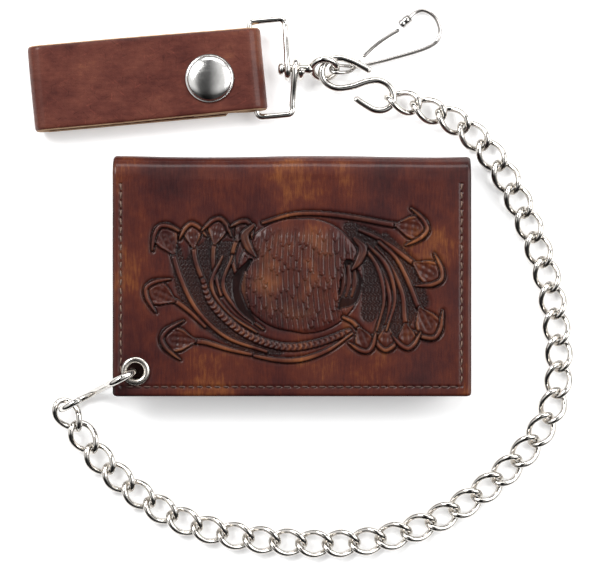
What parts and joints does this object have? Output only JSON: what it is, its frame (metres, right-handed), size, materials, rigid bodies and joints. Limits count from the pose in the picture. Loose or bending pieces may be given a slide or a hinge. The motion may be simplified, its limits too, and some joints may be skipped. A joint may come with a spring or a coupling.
{
  "type": "chain wallet",
  "caption": "Trifold leather wallet with a tooled cover, an eyelet, a curb chain with S-hooks, a swivel ring, a wire snap hook and a snap-closed belt strap.",
  "frame": {"origin": "centre of the wallet's flat back face, which lies on the XY plane", "axes": "+Z out of the tooled cover, +Y towards the top fold and the belt strap, +X to the right along the fold"},
  "size_m": [0.1722, 0.1738, 0.0195],
  "materials": {
    "dark_leather": "tooled and polished",
    "lining_leather": "plain",
    "strap_leather": "polished",
    "nickel": "bright nickel plate",
    "thread": "waxed thread",
    "clear_film": "clear film"
  },
  "bodies": {
    "cover": {"cover_leather": "dark_leather", "cover_pocket": "lining_leather", "cover_stitching": "thread", "eyelet": "nickel", "eyelet_washer": "nickel"},
    "back_half": {"back_leather": "dark_leather", "bill_divider": "lining_leather", "card_pocket": "lining_leather"},
    "inner_flap": {"inner_flap": "dark_leather", "id_window": "clear_film"},
    "wallet_hook": {"wallet_hook": "nickel"},
    "link_01": {"link_01": "nickel"},
    "link_02": {"link_02": "nickel"},
    "link_03": {"link_03": "nickel"},
    "link_04": {"link_04": "nickel"},
    "link_05": {"link_05": "nickel"},
    "link_06": {"link_06": "nickel"},
    "link_07": {"link_07": "nickel"},
    "link_08": {"link_08": "nickel"},
    "link_09": {"link_09": "nickel"},
    "link_10": {"link_10": "nickel"},
    "link_11": {"link_11": "nickel"},
    "link_12": {"link_12": "nickel"},
    "link_13": {"link_13": "nickel"},
    "link_14": {"link_14": "nickel"},
    "link_15": {"link_15": "nickel"},
    "link_16": {"link_16": "nickel"},
    "link_17": {"link_17": "nickel"},
    "link_18": {"link_18": "nickel"},
    "link_19": {"link_19": "nickel"},
    "link_20": {"link_20": "nickel"},
    "link_21": {"link_21": "nickel"},
    "link_22": {"link_22": "nickel"},
    "link_23": {"link_23": "nickel"},
    "link_24": {"link_24": "nickel"},
    "link_25": {"link_25": "nickel"},
    "link_26": {"link_26": "nickel"},
    "link_27": {"link_27": "nickel"},
    "link_28": {"link_28": "nickel"},
    "link_29": {"link_29": "nickel"},
    "link_30": {"link_30": "nickel"},
    "link_31": {"link_31": "nickel"},
    "link_32": {"link_32": "nickel"},
    "link_33": {"link_33": "nickel"},
    "link_34": {"link_34": "nickel"},
    "link_35": {"link_35": "nickel"},
    "link_36": {"link_36": "nickel"},
    "link_37": {"link_37": "nickel"},
    "leash_hook": {"leash_hook": "nickel"},
    "swivel": {"swivel_eye": "nickel"},
    "snap_hook": {"snap_hook": "nickel", "snap_ferrule": "nickel"},
    "snap_gate": {"snap_gate": "nickel"},
    "ring": {"ring": "nickel"},
    "strap": {"strap_front": "strap_leather", "snap_cap": "nickel", "snap_socket": "nickel"},
    "strap_flap": {"strap_flap": "strap_leather", "snap_stud": "nickel", "snap_post": "nickel"}
  },
  "joints": [
    {"name": "main_fold", "type": "hinge", "parent": "cover", "child": "back_half", "pos_m": [0, 0.03, 0], "axis": [1, 0, 0], "range_deg": [0, 110]},
    {"name": "inner_fold", "type": "hinge", "parent": "back_half", "child": "inner_flap", "pos_m": [0, -0.032, 0.007], "axis": [1, 0, 0], "range_deg": [0, 19]},
    {"name": "strap_opening", "type": "hinge", "parent": "strap", "child": "strap_flap", "pos_m": [-0.07787, 0.05905, 0.0006], "axis": [-0.0906, 0.9959, 0], "range_deg": [0, 100]},
    {"name": "gate_swing", "type": "hinge", "parent": "snap_hook", "child": "snap_gate", "pos_m": [0.0224, 0.0692, 0.0027], "axis": [0, 0, -1], "range_deg": [0, 12], "stiffness_Nm_per_rad": 0.004},
    {"name": "snap_hook_swing", "type": "hinge", "parent": "swivel", "child": "snap_hook", "pos_m": [0.0141, 0.0653, 0.0046], "axis": [0, 0.7071, 0.7071], "range_deg": [0, 15]},
    {"name": "swivel_spin", "type": "hinge", "parent": "swivel", "child": "ring", "pos_m": [0, 0.0653, 0.0046], "axis": [1, 0, 0], "range_deg": [-20, 20]},
    {"name": "strap_tilt", "type": "hinge", "parent": "ring", "child": "strap", "pos_m": [-0.01224, 0.06503, 0.0046], "axis": [-0.0906, 0.9959, 0], "range_deg": [-20, 20]},
    {"name": "leash_hook_swing", "type": "hinge", "parent": "link_37", "child": "leash_hook", "pos_m": [0.03195, 0.0559, 0.0046], "axis": [0, 1, 0], "range_deg": [-12, 12]},
    {"name": "swivel_swing", "type": "hinge", "parent": "leash_hook", "child": "swivel", "pos_m": [0.0093, 0.0645, 0.0046], "axis": [0, 1, 0], "range_deg": [0, 6]},
    {"name": "wallet_hook_lift", "type": "hinge", "parent": "cover", "child": "wallet_hook", "pos_m": [-0.0486, -0.0296, 0.0142], "axis": [0.46, -0.8879, 0], "range_deg": [-15, 0]},
    {"name": "chain_joint_01", "type": "hinge", "parent": "wallet_hook", "child": "link_01", "pos_m": [-0.07204, -0.04174, 0.0059], "axis": [0.8238, 0.5669, 0], "range_deg": [-15, 15]},
    {"name": "chain_joint_02", "type": "hinge", "parent": "link_01", "child": "link_02", "pos_m": [-0.06801, -0.04761, 0.0053], "axis": [-0.8249, -0.5652, 0], "range_deg": [-15, 15]},
    {"name": "chain_joint_03", "type": "hinge", "parent": "link_02", "child": "link_03", "pos_m": [-0.06328, -0.05454, 0.00415], "axis": [-0.7958, -0.6056, 0], "range_deg": [-15, 15]},
    {"name": "chain_joint_04", "type": "hinge", "parent": "link_03", "child": "link_04", "pos_m": [-0.05788, -0.06091, 0.0032], "axis": [0.7189, 0.6952, 0], "range_deg": [-15, 15]},
    {"name": "chain_joint_05", "type": "hinge", "parent": "link_04", "child": "link_05", "pos_m": [-0.05167, -0.06654, 0.0026], "axis": [0.6343, 0.7731, 0], "range_deg": [-15, 15]},
    {"name": "chain_joint_06", "type": "hinge", "parent": "link_05", "child": "link_06", "pos_m": [-0.04494, -0.07153, 0.0024], "axis": [-0.5509, -0.8346, 0], "range_deg": [-15, 15]},
    {"name": "chain_joint_07", "type": "hinge", "parent": "link_06", "child": "link_07", "pos_m": [-0.03772, -0.07575, 0.0024], "axis": [-0.4467, -0.8947, 0], "range_deg": [-15, 15]},
    {"name": "chain_joint_08", "type": "hinge", "parent": "link_07", "child": "link_08", "pos_m": [-0.03, -0.07899, 0.0024], "axis": [0.3306, 0.9438, 0], "range_deg": [-15, 15]},
    {"name": "chain_joint_09", "type": "hinge", "parent": "link_08", "child": "link_09", "pos_m": [-0.02194, -0.08127, 0.0024], "axis": [0.2299, 0.9732, 0], "range_deg": [-15, 15]},
    {"name": "chain_joint_10", "type": "hinge", "parent": "link_09", "child": "link_10", "pos_m": [-0.01371, -0.08284, 0.0024], "axis": [-0.1544, -0.988, 0], "range_deg": [-15, 15]},
    {"name": "chain_joint_11", "type": "hinge", "parent": "link_10", "child": "link_11", "pos_m": [-0.00539, -0.08386, 0.0024], "axis": [-0.097, -0.9953, 0], "range_deg": [-15, 15]},
    {"name": "chain_joint_12", "type": "hinge", "parent": "link_11", "child": "link_12", "pos_m": [0.00297, -0.08446, 0.0024], "axis": [0.0461, 0.9989, 0], "range_deg": [-15, 15]},
    {"name": "chain_joint_13", "type": "hinge", "parent": "link_12", "child": "link_13", "pos_m": [0.01135, -0.08464, 0.0024], "axis": [-0.0144, 0.9999, 0], "range_deg": [-15, 15]},
    {"name": "chain_joint_14", "type": "hinge", "parent": "link_13", "child": "link_14", "pos_m": [0.01972, -0.08422, 0.0024], "axis": [0.0972, -0.9953, 0], "range_deg": [-15, 15]},
    {"name": "chain_joint_15", "type": "hinge", "parent": "link_14", "child": "link_15", "pos_m": [0.02801, -0.08301, 0.0024], "axis": [0.2033, -0.9791, 0], "range_deg": [-15, 15]},
    {"name": "chain_joint_16", "type": "hinge", "parent": "link_15", "child": "link_16", "pos_m": [0.03609, -0.08082, 0.0024], "axis": [-0.3152, 0.949, 0], "range_deg": [-15, 15]},
    {"name": "chain_joint_17", "type": "hinge", "parent": "link_16", "child": "link_17", "pos_m": [0.04387, -0.07774, 0.0024], "axis": [-0.4148, 0.9099, 0], "range_deg": [-15, 15]},
    {"name": "chain_joint_18", "type": "hinge", "parent": "link_17", "child": "link_18", "pos_m": [0.05131, -0.07389, 0.0024], "axis": [0.5032, -0.8642, 0], "range_deg": [-15, 15]},
    {"name": "chain_joint_19", "type": "hinge", "parent": "link_18", "child": "link_19", "pos_m": [0.05833, -0.06932, 0.0024], "axis": [0.5846, -0.8113, 0], "range_deg": [-15, 15]},
    {"name": "chain_joint_20", "type": "hinge", "parent": "link_19", "child": "link_20", "pos_m": [0.06489, -0.0641, 0.0024], "axis": [-0.6568, 0.7541, 0], "range_deg": [-15, 15]},
    {"name": "chain_joint_21", "type": "hinge", "parent": "link_20", "child": "link_21", "pos_m": [0.07095, -0.05832, 0.0024], "axis": [-0.727, 0.6866, 0], "range_deg": [-15, 15]},
    {"name": "chain_joint_22", "type": "hinge", "parent": "link_21", "child": "link_22", "pos_m": [0.07637, -0.05194, 0.0024], "axis": [0.8104, -0.5859, 0], "range_deg": [-15, 15]},
    {"name": "chain_joint_23", "type": "hinge", "parent": "link_22", "child": "link_23", "pos_m": [0.08072, -0.04482, 0.0024], "axis": [0.9057, -0.4239, 0], "range_deg": [-15, 15]},
    {"name": "chain_joint_24", "type": "hinge", "parent": "link_23", "child": "link_24", "pos_m": [0.08339, -0.03694, 0.0024], "axis": [-0.9764, 0.2161, 0], "range_deg": [-15, 15]},
    {"name": "chain_joint_25", "type": "hinge", "parent": "link_24", "child": "link_25", "pos_m": [0.0843, -0.02864, 0.0024], "axis": [-0.9993, 0.0362, 0], "range_deg": [-15, 15]},
    {"name": "chain_joint_26", "type": "hinge", "parent": "link_25", "child": "link_26", "pos_m": [0.084, -0.02027, 0.0024], "axis": [0.997, 0.0771, 0], "range_deg": [-15, 15]},
    {"name": "chain_joint_27", "type": "hinge", "parent": "link_26", "child": "link_27", "pos_m": [0.08301, -0.01194, 0.0024], "axis": [0.9884, 0.1521, 0], "range_deg": [-15, 15]},
    {"name": "chain_joint_28", "type": "hinge", "parent": "link_27", "child": "link_28", "pos_m": [0.08145, -0.00371, 0.0024], "axis": [-0.9741, -0.2262, 0], "range_deg": [-15, 15]},
    {"name": "chain_joint_29", "type": "hinge", "parent": "link_28", "child": "link_29", "pos_m": [0.07922, 0.00437, 0.0024], "axis": [-0.9541, -0.2995, 0], "range_deg": [-15, 15]},
    {"name": "chain_joint_30", "type": "hinge", "parent": "link_29", "child": "link_30", "pos_m": [0.07643, 0.01227, 0.0024], "axis": [0.934, 0.3574, 0], "range_deg": [-15, 15]},
    {"name": "chain_joint_31", "type": "hinge", "parent": "link_30", "child": "link_31", "pos_m": [0.07323, 0.02002, 0.0024], "axis": [0.9137, 0.4065, 0], "range_deg": [-15, 15]},
    {"name": "chain_joint_32", "type": "hinge", "parent": "link_31", "child": "link_32", "pos_m": [0.06962, 0.02759, 0.0024], "axis": [-0.8821, -0.471, 0], "range_deg": [-15, 15]},
    {"name": "chain_joint_33", "type": "hinge", "parent": "link_32", "child": "link_33", "pos_m": [0.06535, 0.03479, 0.0024], "axis": [-0.8226, -0.5687, 0], "range_deg": [-15, 15]},
    {"name": "chain_joint_34", "type": "hinge", "parent": "link_33", "child": "link_34", "pos_m": [0.06013, 0.04132, 0.00255], "axis": [0.7262, 0.6875, 0], "range_deg": [-15, 15]},
    {"name": "chain_joint_35", "type": "hinge", "parent": "link_34", "child": "link_35", "pos_m": [0.0539, 0.04688, 0.003], "axis": [0.5881, 0.8088, 0], "range_deg": [-15, 15]},
    {"name": "chain_joint_36", "type": "hinge", "parent": "link_35", "child": "link_36", "pos_m": [0.0467, 0.05108, 0.00365], "axis": [-0.4323, -0.9017, 0], "range_deg": [-15, 15]},
    {"name": "chain_joint_37", "type": "hinge", "parent": "link_36", "child": "link_37", "pos_m": [0.03888, 0.05408, 0.0043], "axis": [-0.3106, -0.9505, 0], "range_deg": [-15, 15]}
  ],
  "couplings": [
    {"joint": "inner_fold", "follows": "main_fold", "ratio": 0.17}
  ]
}
